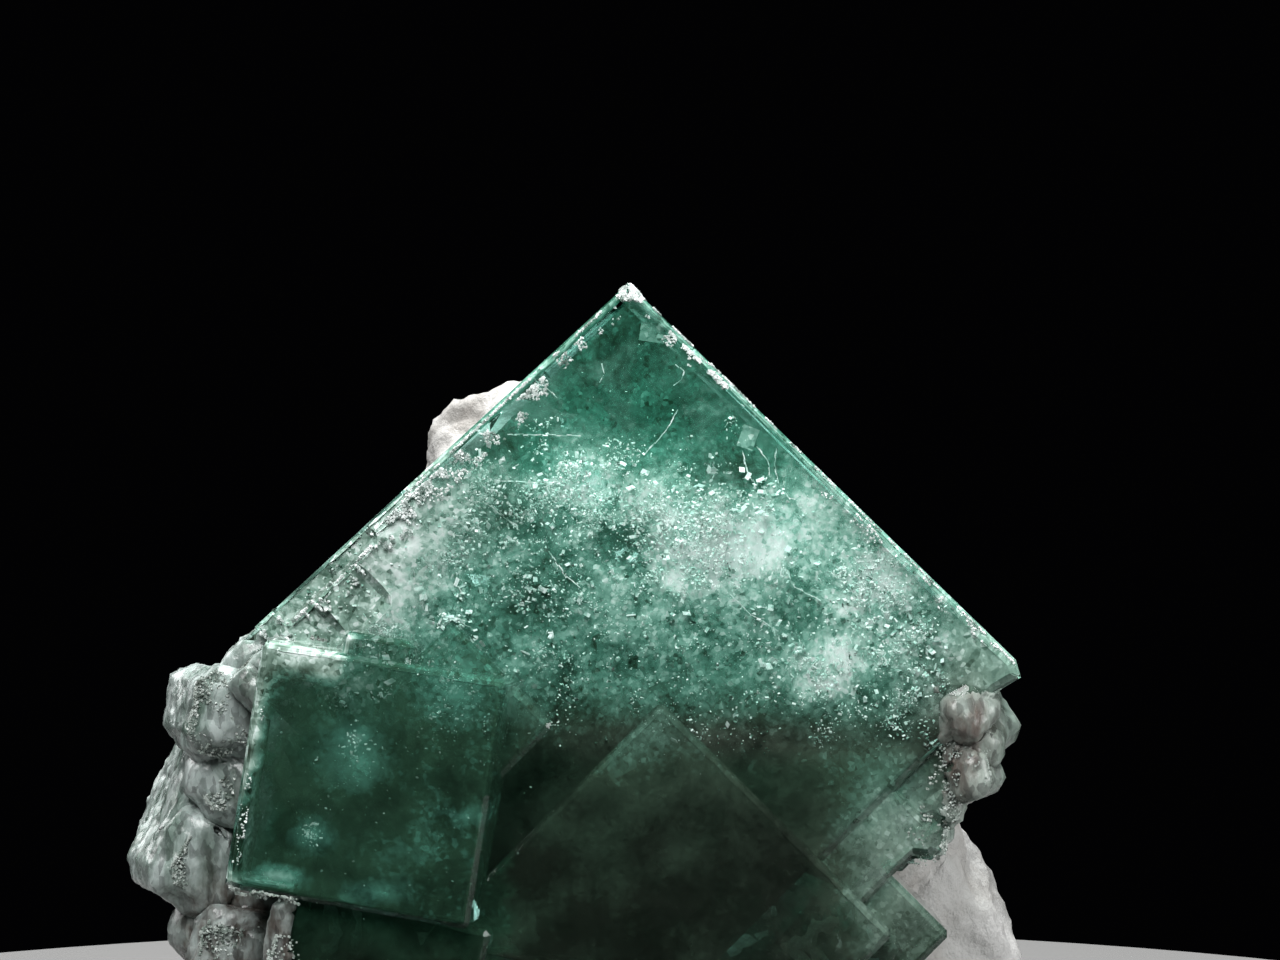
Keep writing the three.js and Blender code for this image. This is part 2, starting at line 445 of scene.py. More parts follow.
@dataclass(frozen=True)
class VeilFinish:
    """A thin cloudy sheet inside the crystal, broken up so that it thins out to nothing.

    The piece's points carry how dense it is, as cover, how pale it is, with painted shade that darkens it
    low down, as glow, how grey it is, as dust, and how granular it is, as grain. The features, clumps and
    grains are in millimetres, and a clump or a grain turns its random value into a tone along its stops.
    """

    name: str
    feature: float = 1.9
    mottle: float = 0.42
    clump: float = 0.8
    clump_stops: Stops = ((0.0, 0.0), (0.42, 0.2), (0.56, 0.5), (0.64, 1.0))
    grains: Stops = ((0.36, 0.46), (0.15, 1.05))
    grain_stops: Stops = ((0.0, 0.0), (0.07, 0.30), (0.55, 0.46), (0.84, 0.58), (0.93, 0.80), (1.0, 1.0))
    greens: ColorStops = (
        (0.00, (0.006, 0.011, 0.006, 1.0)),
        (0.18, (0.022, 0.062, 0.036, 1.0)),
        (0.36, (0.085, 0.26, 0.195, 1.0)),
        (0.55, (0.30, 0.55, 0.46, 1.0)),
        (0.76, (0.74, 0.92, 0.85, 1.0)),
        (0.94, (1.00, 1.00, 1.00, 1.0)),
    )
    greys: ColorStops = (
        (0.00, (0.007, 0.008, 0.006, 1.0)),
        (0.25, (0.065, 0.070, 0.055, 1.0)),
        (0.50, (0.25, 0.26, 0.225, 1.0)),
        (0.75, (0.58, 0.62, 0.58, 1.0)),
        (1.00, (1.00, 1.00, 1.00, 1.0)),
    )

    def material(self) -> bpy.types.Material:
        """Make the material.

        Returns:
            The see-through cloud, which reads the sheets' levels.
        """
        dress = Dress(self.name)
        shader = dress.surface((0.6, 0.8, 0.7, 1.0), 0.8, 1.2)
        dress.stretch((1.0, 0.3, 1.0))
        cloud = dress.noise(self.feature, 8.0, 0.5, 0.62)
        tone = dress.span(cloud, (0.3, 0.7), (-0.5 * self.mottle, 0.5 * self.mottle))
        clumps = dress.curve(dress.noise(self.clump, 7.0, 0.8, 0.72), self.clump_stops)
        tone = dress.combine("ADD", tone, dress.span(clumps, (0.0, 1.0), (-0.10, 0.46)))
        for size, share in self.grains:
            grain = dress.curve(dress.grains(size), self.grain_stops)
            tone = dress.combine("ADD", tone, dress.span(grain, (0.0, 1.0), (-0.45 * share, 0.55 * share)))
        tone = dress.combine("MULTIPLY", tone, dress.attribute("grain"))
        # painted shade: glow holds the cloud's paleness and the painted shade that darkens it low down
        glow = dress.attribute("glow")
        lively = dress.combine("MULTIPLY", tone, dress.combine("ADD", glow, 0.12))
        level = dress.combine("ADD", glow, lively)
        mixed = dress.add("ShaderNodeMix", data_type="RGBA")
        dress.join(dress.attribute("dust"), mixed.inputs["Factor"])
        dress.join(dress.ramp(level, self.greens), mixed.inputs["A"])
        dress.join(dress.ramp(level, self.greys), mixed.inputs["B"])
        dress.join(mixed.outputs["Result"], shader.inputs["Base Color"])
        uneven = dress.span(cloud, (0.35, 0.65), (-0.22, 0.22))
        cover = dress.combine("ADD", dress.attribute("cover"), uneven)
        dress.join(dress.span(cover, (0.12, 1.0), (0.0, 1.0)), shader.inputs["Alpha"])
        return dress.finish(shader.outputs[0])


@dataclass(frozen=True)
class CrustFinish:
    """The frosted crust on the flanks: grey-white and greenish grains with brownish ones between."""

    name: str
    pale: Color
    green: Color
    brown: Color
    patch: float = 1.5
    speck: float = 0.5
    grain: float = 0.22
    grain_stops: Stops = ((0.0, 0.42), (0.5, 0.78), (0.9, 1.0), (1.0, 1.0))

    def material(self) -> bpy.types.Material:
        """Make the material.

        Returns:
            The sugary crust's material.
        """
        dress = Dress(self.name)
        shader = dress.surface(self.pale, 0.35, 1.45)
        shader.inputs["Coat Weight"].default_value = 0.2
        shader.inputs["Coat Roughness"].default_value = 0.15
        shader.inputs["Subsurface Weight"].default_value = 0.25
        shader.inputs["Subsurface Radius"].default_value = (0.9, 1.0, 0.95)
        shader.inputs["Subsurface Scale"].default_value = 0.7 * MM
        dress.stretch((1.0, 1.0, 0.5))
        broad = dress.noise(self.patch, 6.0, 0.6, 0.6)
        hues = dress.add("ShaderNodeMix", data_type="RGBA")
        uneven = dress.span(broad, (0.35, 0.65), (0.25, -0.25))
        dress.join(dress.combine("ADD", dress.attribute("stain"), uneven), hues.inputs["Factor"])
        dress.join(dress.ramp(broad, [(0.36, self.green), (0.62, self.pale)]), hues.inputs["A"])
        specks = dress.ramp(dress.noise(self.speck, 4.0), [(0.40, self.brown), (0.80, self.pale)])
        dress.join(specks, hues.inputs["B"])
        grain = dress.curve(dress.grains(self.grain), self.grain_stops)
        mixed = dress.add("ShaderNodeMix", data_type="RGBA", blend_type="MULTIPLY")
        mixed.inputs["Factor"].default_value = 1.0
        dress.join(hues.outputs["Result"], mixed.inputs["A"])
        dress.join(grain, mixed.inputs["B"])
        dress.join(mixed.outputs["Result"], shader.inputs["Base Color"])
        dress.join(dress.span(dress.grains(0.3), (0.0, 1.0), (0.15, 0.6)), shader.inputs["Roughness"])
        dress.relief(dress.noise(0.16, 3.0, 0.0, 0.7), 0.05, shader, 0.5)
        return dress.finish(shader.outputs[0])


def make_piece(name: str, bm: bmesh.types.BMesh, finish: bpy.types.Material) -> bpy.types.Object:
    """Turn a finished bmesh into a piece of the specimen.

    Args:
        name: The piece's name.
        bm: Its shape, in place. It is freed.
        finish: Its material.

    Returns:
        The new object, riding on the specimen.
    """
    mesh = bpy.data.meshes.new(name)
    bm.to_mesh(mesh)
    bm.free()
    mesh.materials.append(finish)
    piece = bpy.data.objects.new(name, mesh)
    bpy.context.scene.collection.objects.link(piece)
    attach(piece, BODY)
    LOG.info("%s: %d faces", name, len(mesh.polygons))
    return piece


def copy_of_node(node: str) -> bmesh.types.BMesh:
    """Copy a solid's mesh, with its loose triangles merged into one surface.

    Args:
        node: The solid's name.

    Returns:
        The copy.
    """
    bm = bmesh.new()
    bm.from_mesh(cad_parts[node].data)
    bmesh.ops.remove_doubles(bm, verts=bm.verts, dist=WELD * MM)
    return bm


def hold_in_box(verts: Iterable[bmesh.types.BMVert], margin: float) -> None:
    """Keep vertices inside the solids' own box.

    Args:
        verts: The vertices.
        margin: How far inside it they stay, in metres, except at the base.
    """
    low, high = (Vector(corner) for corner in CAD_BOX)
    for vert in verts:
        for axis in range(3):
            floor = low[axis] if axis == 2 else low[axis] + margin
            vert.co[axis] = min(max(vert.co[axis], floor), high[axis] - margin)


@dataclass
class CrystalCluster:
    """The clear crystals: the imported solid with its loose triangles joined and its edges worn."""

    flat_angle: float = math.radians(0.6)
    sharp_angle: float = math.radians(28)
    wear: float = 0.032
    tree: BVHTree | None = None

    def build(self, finish: bpy.types.Material) -> bpy.types.Object:
        """Build the crystals.

        Args:
            finish: The clear material.

        Returns:
            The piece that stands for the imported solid.
        """
        bm = copy_of_node(CRYSTAL_NODE)
        bmesh.ops.dissolve_limit(bm, angle_limit=self.flat_angle, verts=bm.verts, edges=bm.edges)
        sharp = [edge for edge in bm.edges if edge.is_manifold and edge.calc_face_angle() > self.sharp_angle]
        bmesh.ops.bevel(
            bm,
            geom=sharp,
            offset=self.wear * MM,
            offset_type="OFFSET",
            segments=1,
            profile=0.5,
            affect="EDGES",
            clamp_overlap=True,
            material=-1,
        )
        bmesh.ops.triangulate(bm, faces=bm.faces)
        hold_in_box(bm.verts, 0.0)
        self.tree = BVHTree.FromBMesh(bm)
        piece = make_piece("clear_crystals", bm, finish)
        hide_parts(CRYSTAL_NODE)
        return piece


@dataclass
class RockLump:
    """The rock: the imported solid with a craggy, sugary surface that meets the crystals.

    Its sizes are in millimetres. It swells by meeting, within reach of the crystals.
    """

    tree: BVHTree
    meeting: float = 0.42
    reach: float = 1.2
    crag: float = 0.26
    grain: float = 0.10
    crag_width: float = 2.3
    break_width: float = 0.9
    grain_width: float = 0.4
    cuts: int = 3
    smoothings: int = 5
    foot: float = 0.1
    margin: float = 0.02

    def build(self, finish: bpy.types.Material) -> bpy.types.Object:
        """Build the rock.

        Args:
            finish: The rock's material.

        Returns:
            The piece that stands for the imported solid.
        """
        bm = copy_of_node(ROCK_NODE)
        bmesh.ops.subdivide_edges(bm, edges=bm.edges, cuts=self.cuts, use_grid_fill=True)
        bmesh.ops.triangulate(bm, faces=bm.faces)
        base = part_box(ROCK_NODE)[0].z
        free = [vert for vert in bm.verts if vert.co.z > base + self.foot * MM]
        for _ in range(self.smoothings):
            bmesh.ops.smooth_vert(
                bm, verts=free, factor=0.5, use_axis_x=True, use_axis_y=True, use_axis_z=True
            )
        bm.normal_update()
        moves = [(vert, vert.normal * self.height(vert.co)) for vert in free]
        for vert, move in moves:
            vert.co += move
        for face in bm.faces:
            face.smooth = True
        hold_in_box(bm.verts, self.margin * MM)
        piece = make_piece("white_rock_surface", bm, finish)
        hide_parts(ROCK_NODE)
        return piece

    def height(self, place: Vector) -> float:
        """Work out how far the surface stands out at a place.

        Args:
            place: The place, in metres.

        Returns:
            The height in metres.
        """
        _, _, _, distance = self.tree.find_nearest(place)
        near = max(1.0 - distance / (self.reach * MM), 0.0)
        crags = 1.0 - 2.0 * abs(noise.noise(place / (self.crag_width * MM)))
        breaks = 1.0 - 2.0 * abs(noise.noise(place / (self.break_width * MM)))
        grains = noise.noise(place / (self.grain_width * MM))
        return (self.meeting * near + self.crag * (crags + 0.5 * breaks - 0.6) + self.grain * grains) * MM


class Cleavage(Enum):
    """The directions that breaks inside the crystal face: the four of an octahedron's that point forward."""

    UP = (0.0, -0.577, 0.816)
    DOWN = (0.0, -0.577, -0.816)
    LEFT = (-0.816, -0.577, 0.0)
    RIGHT = (0.816, -0.577, 0.0)

    @classmethod
    def pick(cls, dice: random.Random, stray: float) -> Quaternion:
        """Pick one direction, most often up, with a little stray and a free spin.

        Args:
            dice: Where the choice comes from.
            stray: How far it strays, as a share of the direction's length.

        Returns:
            The turn that lays a flat flake across that direction.
        """
        choice = dice.choices(list(CLEAVAGE_SHARES), CLEAVAGE_SHARES.values())[0]
        facing = Vector(choice.value) + Vector([dice.gauss(0.0, stray) for _ in range(3)])
        return facing.to_track_quat("Z", "Y") @ Quaternion((0.0, 0.0, 1.0), dice.uniform(0.0, math.tau))


CLEAVAGE_SHARES = {Cleavage.UP: 6, Cleavage.DOWN: 1, Cleavage.LEFT: 2, Cleavage.RIGHT: 2}


class Grain(NamedTuple):
    """One small block: its middle and three sizes in metres, and its turn."""

    middle: Vector
    sizes: Vector
    turn: Quaternion


@dataclass(frozen=True)
class Patch:
    """Small shards around one place, in millimetres.

    They lie evenly or in a number of clumps. Flat is a shard's thickness as a share of its length, and stray
    is how far it turns off its cleavage direction.
    """

    middle: Point
    spread: Point
    count: int
    size: tuple[float, float]
    clumps: int = 0
    flat: float = 0.25
    stray: float = 0.30


@dataclass(frozen=True)
class Strip:
    """A band of tiny crystals along an edge, from one end to the other, in millimetres.

    It has none where a noise is below bare, and lift is how far they stand off the surface.
    """

    start: Point
    end: Point
    across: Point
    width: float
    count: int
    size: tuple[float, float]
    bare: float = -0.1
    lift: float = 0.0


def free_turn(dice: random.Random) -> Quaternion:
    """Pick any turn at all."""
    return Euler([dice.uniform(0.0, math.tau) for _ in range(3)]).to_quaternion()


def add_grains(bm: bmesh.types.BMesh, grains: Iterator[Grain], dice: random.Random, skew: float) -> None:
    """Add small skewed blocks to a mesh, in batches because a short mesh is quicker to add to.

    Args:
        bm: The mesh that they are added to.
        grains: The blocks.
        dice: Where the skew comes from.
        skew: How far each corner strays, as a share of the block.
    """
    waiting = list(grains)
    for start in range(0, len(waiting), BATCH):
        part = bmesh.new()
        for grain in waiting[start:start + BATCH]:
            matrix = Matrix.LocRotScale(grain.middle, grain.turn, grain.sizes)
            block = bmesh.ops.create_cube(part, size=1.0, matrix=matrix)
            reach = skew * min(grain.sizes)
            for vert in block["verts"]:
                vert.co += Vector([dice.uniform(-reach, reach) for _ in range(3)])
        mesh = bpy.data.meshes.new("grains")
        part.to_mesh(mesh)
        part.free()
        bm.from_mesh(mesh)
        bpy.data.meshes.remove(mesh)


CLOUD_SHARDS = (
    Patch((0.8, 1.0, 2.8), (5.6, 0.6, 2.2), 3190, (0.03, 0.14), 170),
    Patch((0.8, 0.6, 2.6), (6.0, 0.3, 2.6), 1980, (0.03, 0.10)),
    Patch((-4.0, 0.6, 4.6), (3.0, 0.3, 1.8), 990, (0.03, 0.16), 40),
    Patch((-1.9, 0.5, 6.7), (0.8, 0.25, 0.6), 760, (0.03, 0.15), 14),
    Patch((0.4, 0.5, 6.2), (1.6, 0.25, 0.5), 530, (0.03, 0.14), 16),
    Patch((1.2, 0.5, 5.2), (1.6, 0.25, 0.9), 1060, (0.03, 0.16), 24),
    Patch((2.8, 0.5, 4.2), (1.3, 0.25, 0.9), 910, (0.03, 0.16), 18),
    Patch((8.6, 0.5, 3.0), (0.8, 0.25, 0.6), 610, (0.03, 0.15), 9),
    Patch((7.1, 0.5, -0.1), (0.8, 0.25, 0.6), 760, (0.03, 0.15), 12),
    Patch((10.2, 0.5, 0.4), (1.1, 0.25, 1.2), 680, (0.03, 0.14), 16),
    Patch((9.4, 0.5, -1.6), (1.6, 0.25, 0.8), 460, (0.03, 0.13), 14),
    Patch((-6.4, 0.5, 6.2), (1.2, 0.25, 0.9), 680, (0.03, 0.16), 12),
    Patch((-9.6, 0.5, 3.4), (2.0, 0.25, 1.6), 1140, (0.03, 0.18), 30),
    Patch((1.5, 0.6, -1.6), (5.5, 0.3, 0.8), 530, (0.03, 0.10), 30),
    Patch((-12.0, 0.5, 1.1), (1.2, 0.25, 1.1), 530, (0.04, 0.22), 14),
    Patch((-9.4, 0.4, 4.4), (1.4, 0.2, 1.4), 530, (0.04, 0.24), 14),
    Patch((-6.4, -1.2, -0.6), (0.9, 0.6, 1.0), 160, (0.03, 0.16), 10),
    Patch((-11.4, -1.6, -5.8), (0.2, 0.3, 0.2), 60, (0.04, 0.14)),
    Patch((-9.8, -1.6, -2.6), (0.3, 0.3, 0.4), 60, (0.04, 0.14)),
    Patch((-9.0, -1.2, -4.0), (2.4, 0.8, 2.4), 130, (0.03, 0.10)),
    Patch((0.5, 6.0, 9.0), (3.0, 3.0, 1.6), 50, (0.03, 0.08)),
)
BROAD_BREAKS = (
    Patch((1.2, 0.55, 3.2), (5.2, 0.25, 2.2), 560, (0.07, 0.34), 90, 0.07, 0.22),
    Patch((1.0, 0.5, 5.4), (1.9, 0.2, 1.0), 300, (0.07, 0.34), 30, 0.07, 0.22),
    Patch((-1.9, 0.5, 6.7), (0.7, 0.2, 0.5), 90, (0.07, 0.26), 8, 0.07, 0.22),
    Patch((8.4, 0.5, 1.6), (1.8, 0.2, 1.8), 300, (0.07, 0.30), 36, 0.07, 0.25),
    Patch((-9.4, 0.5, 3.2), (2.2, 0.2, 1.8), 300, (0.08, 0.42), 30, 0.07, 0.25),
    Patch((-5.4, 0.5, 5.4), (1.4, 0.2, 1.0), 140, (0.07, 0.34), 16, 0.07, 0.25),
    Patch((-12.9, -2.6, -7.5), (0.6, 0.3, 0.12), 46, (0.14, 0.60), 0, 0.10, 0.25),
    Patch((-11.4, 0.3, 0.8), (0.5, 0.2, 0.4), 40, (0.14, 0.50), 0, 0.10, 0.25),
)
DARK_SPECKS = (
    Patch((0.0, 0.8, 1.0), (5.5, 0.5, 2.0), 700, (0.03, 0.16), 60),
    Patch((2.0, 0.8, -1.4), (5.0, 0.5, 0.8), 500, (0.03, 0.16), 40),
    Patch((9.0, 0.8, 0.0), (2.2, 0.4, 1.8), 300, (0.03, 0.14), 24),
    Patch((-8.5, 0.7, 2.8), (2.0, 0.4, 1.6), 240, (0.03, 0.16), 20),
)


@dataclass
class InnerShards:
    """Small breaks inside the crystal, thick in the cloudy middle and few in the clear top."""

    tree: BVHTree
    name: str
    patches: tuple[Patch, ...]
    seed: int
    clump: Point = (0.26, 0.22, 0.22)
    skew: float = 0.35
    smallness: float = 2.5
    cover: float = 0.8

    def build(self, finish: bpy.types.Material) -> bpy.types.Object:
        """Build the shards.

        Args:
            finish: Their material.

        Returns:
            The piece.
        """
        bm = bmesh.new()
        dice = random.Random(self.seed)
        for patch in self.patches:
            add_grains(bm, self.grains(patch, dice), dice, self.skew)
        return make_piece(self.name, bm, finish)

    def grains(self, patch: Patch, dice: random.Random) -> Iterator[Grain]:
        """Find places inside the crystal for one patch.

        Args:
            patch: The patch.
            dice: Where the places come from.

        Yields:
            Each shard.
        """
        clumps = [self.scatter(patch.middle, patch.spread, dice) for _ in range(patch.clumps)]
        for _ in range(patch.count):
            if clumps:
                place = self.scatter(dice.choice(clumps), self.clump, dice)
            else:
                place = self.scatter(patch.middle, patch.spread, dice)
            size = patch.size[0] + (patch.size[1] - patch.size[0]) * dice.random() ** self.smallness
            middle = FACE.at(place)
            if self.depth(middle) > size * self.cover * MM:
                sizes = Vector((size, size * dice.uniform(0.35, 0.8), size * patch.flat)) * MM
                yield Grain(middle, sizes, Cleavage.pick(dice, patch.stray))

    @staticmethod
    def scatter(middle: Point, spread: Point, dice: random.Random) -> Point:
        """Pick a place around a middle, in millimetres."""
        return tuple(dice.gauss(m, s) for m, s in zip(middle, spread, strict=True))

    def depth(self, place: Vector) -> float:
        """Measure how deep inside the crystal a place is.

        Args:
            place: The place, in metres.

        Returns:
            Its distance from the surface, below zero outside.
        """
        nearest, normal, _, distance = self.tree.find_nearest(place)
        return distance if (place - nearest).dot(normal) < 0.0 else -distance


@dataclass
class HairCracks:
    """Fine curved cracks in the clear top of the main crystal, seen as thin bright lines."""

    lines: tuple[tuple[Point, ...], ...] = (
        ((1.55, 0.6, 10.95), (1.86, 0.6, 10.7), (1.78, 0.6, 10.4), (1.5, 0.7, 10.2)),
        ((1.65, 0.6, 9.3), (1.25, 0.6, 8.6), (0.85, 0.7, 8.1), (0.45, 0.8, 7.7)),
        ((-4.5, 0.5, 8.42), (-3.2, 0.5, 8.40), (-1.9, 0.5, 8.36)),
        ((-4.9, 0.7, 6.75), (-3.6, 0.7, 6.68), (-2.4, 0.7, 6.72)),
        ((4.0, 0.6, 7.8), (4.15, 0.6, 7.1), (4.5, 0.7, 6.5)),
        ((4.5, 0.6, 8.0), (4.9, 0.6, 7.5), (5.0, 0.6, 6.9)),
        ((5.2, 0.6, 7.9), (5.15, 0.6, 7.3), (5.3, 0.6, 6.7)),
        ((5.4, 0.5, 6.4), (5.7, 0.5, 6.1), (6.1, 0.5, 6.0)),
        ((-3.75, 0.4, 10.6), (-3.4, 0.4, 10.25), (-3.1, 0.4, 10.15), (-2.7, 0.4, 9.75)),
        ((-1.1, 0.7, 11.0), (-1.0, 0.7, 10.6), (-1.15, 0.7, 10.3)),
        ((-6.9, 0.4, 6.3), (-5.2, 0.5, 5.9), (-4.2, 0.5, 5.1)),
        ((-3.0, 0.5, 4.2), (-2.4, 0.5, 3.3), (-1.9, 0.5, 2.9)),
        ((3.6, 0.5, 2.6), (4.3, 0.5, 1.9), (5.3, 0.5, 1.3)),
        ((5.6, 0.5, 3.5), (5.9, 0.5, 2.9), (6.8, 0.5, 2.4)),
    )
    width: float = 0.035
    step: float = 0.14
    waver: float = 0.03
    skew: float = 0.3
    seed: int = 53

    def build(self, finish: bpy.types.Material) -> bpy.types.Object:
        """Build the cracks.

        Args:
            finish: Their material.

        Returns:
            The piece.
        """
        bm = bmesh.new()
        dice = random.Random(self.seed)
        for line in self.lines:
            add_grains(bm, self.grains(line, dice), dice, self.skew)
        return make_piece("hair_cracks", bm, finish)

    def grains(self, line: tuple[Point, ...], dice: random.Random) -> Iterator[Grain]:
        """Lay short slivers end to end along one crack.

        Args:
            line: The points that the crack runs through.
            dice: Where its waver comes from.

        Yields:
            Each sliver.
        """
        for start, end in zip(line, line[1:]):
            start, end = FACE.at(start), FACE.at(end)
            count = max(int((end - start).length / (self.step * MM)), 1)
            turn = (end - start).to_track_quat("X", "Z")
            for number in range(count):
                waver = Vector([dice.uniform(-self.waver, self.waver) for _ in range(3)]) * MM
                middle = start.lerp(end, (number + 0.5) / count) + waver
                width = self.width * dice.uniform(0.4, 1.2)
                yield Grain(middle, Vector((self.step * 1.3, width, width)) * MM, turn)


@dataclass(frozen=True)
class Spot:
    """A pale or dark spot in the cloud or a stain: its middle and spread across and up, in millimetres."""

    across: float
    up: float
    width: float
    height: float
    glow: float

    def at(self, place: Vector) -> float:
        """Work out what the spot adds at a place.

        Args:
            place: The place, in millimetres from the main face's middle.

        Returns:
            How much paler, or darker when below zero, the place is for it.
        """
        across = (place.x - self.across) / self.width
        up = (place.z - self.up) / self.height
        return self.glow * math.exp(-0.5 * (across * across + up * up))


class Levels(NamedTuple):
    """How dense, how pale with painted shade in it, how grey and how granular the cloud is at a place."""

    cover: float
    glow: float
    dust: float
    grain: float

    def toward(self, other: "Levels", share: float) -> "Levels":
        """Mix these levels with others.

        Args:
            other: The other levels.
            share: How much of them shows.

        Returns:
            The mixed levels.
        """
        return Levels(*(mine + (theirs - mine) * share for mine, theirs in zip(self, other, strict=True)))


@dataclass(frozen=True)
class Cloud:
    """How dense and how pale the crystal's cloud is at each place, seen from the front, with painted shade
    low down.
    """

    left_edge_inward: tuple[float, float] = (0.682, 0.731)
    grey_corner: Spot = Spot(12.4, -2.4, 1.5, 2.6, 0.9)
    grey_ridge: Spot = Spot(3.0, -2.6, 4.5, 0.55, 0.6)
    # painted shade: the glows fall to near black and the covers rise towards the bottom, where the crystal
    # lies in shade
    heights: tuple[float, ...] = (-16.0, -8.0, -5.2, -2.8, 0.6, 3.0, 6.2, 7.4, 9.0, 13.9)
    glows: tuple[float, ...] = (0.01, 0.02, 0.05, 0.14, 0.33, 0.42, 0.48, 0.38, 0.29, 0.22)
    covers: tuple[float, ...] = (0.95, 0.95, 0.92, 0.84, 0.76, 0.72, 0.70, 0.46, 0.26, 0.20)
    spots: tuple[Spot, ...] = (
        Spot(-1.9, 6.7, 0.8, 0.6, 0.34),
        Spot(0.2, 6.1, 1.5, 0.4, 0.10),
        Spot(1.5, 4.9, 1.0, 0.7, 0.34),
        Spot(3.3, 4.1, 1.0, 0.9, 0.32),
        Spot(5.2, 4.7, 1.1, 0.9, 0.30),
        Spot(8.5, 3.0, 0.9, 0.7, 0.42),
        Spot(7.1, -0.1, 0.9, 0.8, 0.50),
        Spot(9.8, 1.0, 1.2, 1.2, 0.22),
        Spot(10.3, -0.9, 1.2, 0.7, 0.22),
        Spot(-5.3, 8.0, 1.0, 0.5, -0.16),
        Spot(-6.6, 5.6, 1.0, 0.8, 0.12),
        Spot(-9.0, 3.4, 2.0, 1.8, 0.22),
        Spot(-12.6, 0.4, 2.0, 2.0, 0.26),
        Spot(-4.6, 5.6, 0.9, 0.7, -0.26),
        Spot(3.7, 6.9, 1.1, 0.6, -0.26),
        Spot(0.0, 4.8, 0.8, 0.7, -0.30),
        Spot(1.9, 3.7, 0.9, 0.6, 0.24),
        Spot(-3.4, 3.2, 1.3, 1.2, -0.14),
        Spot(5.9, 2.6, 0.9, 0.7, -0.14),
        Spot(8.9, -0.4, 0.8, 0.5, -0.16),
        Spot(-4.6, 2.0, 1.4, 1.2, -0.10),
        Spot(-1.4, -3.2, 1.6, 1.0, -0.06),
        Spot(10.2, -6.4, 2.0, 1.8, 0.26),
        Spot(8.6, -9.6, 2.6, 1.0, 0.20),
    )

    def levels(self, place: Vector) -> Levels:
        """Work out all of the cloud's levels at a place, in millimetres from the main face's middle."""
        grain = graded(place.z, (-4.0, -1.0, 6.0, 9.0), (0.5, 1.0, 1.0, 0.6))
        return Levels(self.cover(place), self.glow(place), self.dust(place), grain)

    def glow(self, place: Vector) -> float:
        """Work out how pale the cloud is at a place, in millimetres from the main face's middle."""
        # painted shade: the glows along the heights darken the cloud towards the bottom
        return graded(place.z, self.heights, self.glows) + sum(spot.at(place) for spot in self.spots)

    def cover(self, place: Vector) -> float:
        """Work out how dense the cloud is at a place, in millimetres from the main face's middle."""
        return graded(place.z, self.heights, self.covers)

    def band(self, place: Vector) -> float:
        """Work out how much of the frosted band inside the main face's left edge is at a place.

        Args:
            place: The place, in millimetres from the main face's middle.

        Returns:
            How much of it is there, from 0 to 1.
        """
        right, down = self.left_edge_inward
        inside = (place.x * right + (FACE.top - place.z) * down) + 0.7 * noise.noise(place / 1.4)
        return graded(inside, (1.2, 3.8), (1.0, 0.0)) * graded(place.z, (6.0, 7.8), (1.0, 0.0))

    def dust(self, place: Vector) -> float:
        """Work out how grey the cloud is at a place.

        Args:
            place: The place, in millimetres from the main face's middle.

        Returns:
            How grey it is, from 0 to 1.
        """
        low = graded(place.z, (-8.0, -2.0, 0.0), (0.30, 0.25, 0.06))
        spots = self.grey_corner.at(place) + self.grey_ridge.at(place)
        return min(low + spots + graded(place.z, (1.0, 6.0), (0.85, 0.35)) * self.band(place), 1.0)


def graded(value: float, stops: tuple[float, ...], levels: tuple[float, ...]) -> float:
    """Read a level off a line that runs through some stops.

    Args:
        value: Where to read it.
        stops: The stops, rising.
        levels: The level at each stop.

    Returns:
        The level.
    """
    if value <= stops[0]:
        return levels[0]
    for low, high, first, second in zip(stops, stops[1:], levels, levels[1:]):
        if value <= high:
            return first + (second - first) * (value - low) / (high - low)
    return levels[-1]


@dataclass(frozen=True)
class Sheet:
    """One cloudy sheet, square to the view.

    Its middle, half widths and wave, which is how far it sways, are in millimetres, and roll turns it in its
    plane, in degrees. Its cover and glow multiply the cloud's own.
    """

    middle: Point
    half: tuple[float, float]
    roll: float
    wave: float
    cover: float = 1.0
    glow: float = 1.0


PALE_FLAKES = (
    Sheet((0.75, 0.5, 12.1), (0.46, 0.34), 8.0, 0.0, 3.4, 1.6),
    Sheet((4.2, 0.6, 8.3), (0.30, 0.40), 20.0, 0.0, 2.6, 1.5),
)
MAIN_SHEETS = (
    Sheet((-0.3, 0.8, -0.1), (9.8, 9.8), 45.0, 0.25, 0.80, 1.0),
    Sheet((-0.3, 2.6, -0.1), (9.8, 9.8), 45.0, 0.6, 1.0, 0.95),
)
TOP_SHEETS = (
    Sheet((0.0, 11.0, 6.9), (4.84, 4.84), 45.0, 0.3, 2.6, 0.9),
)


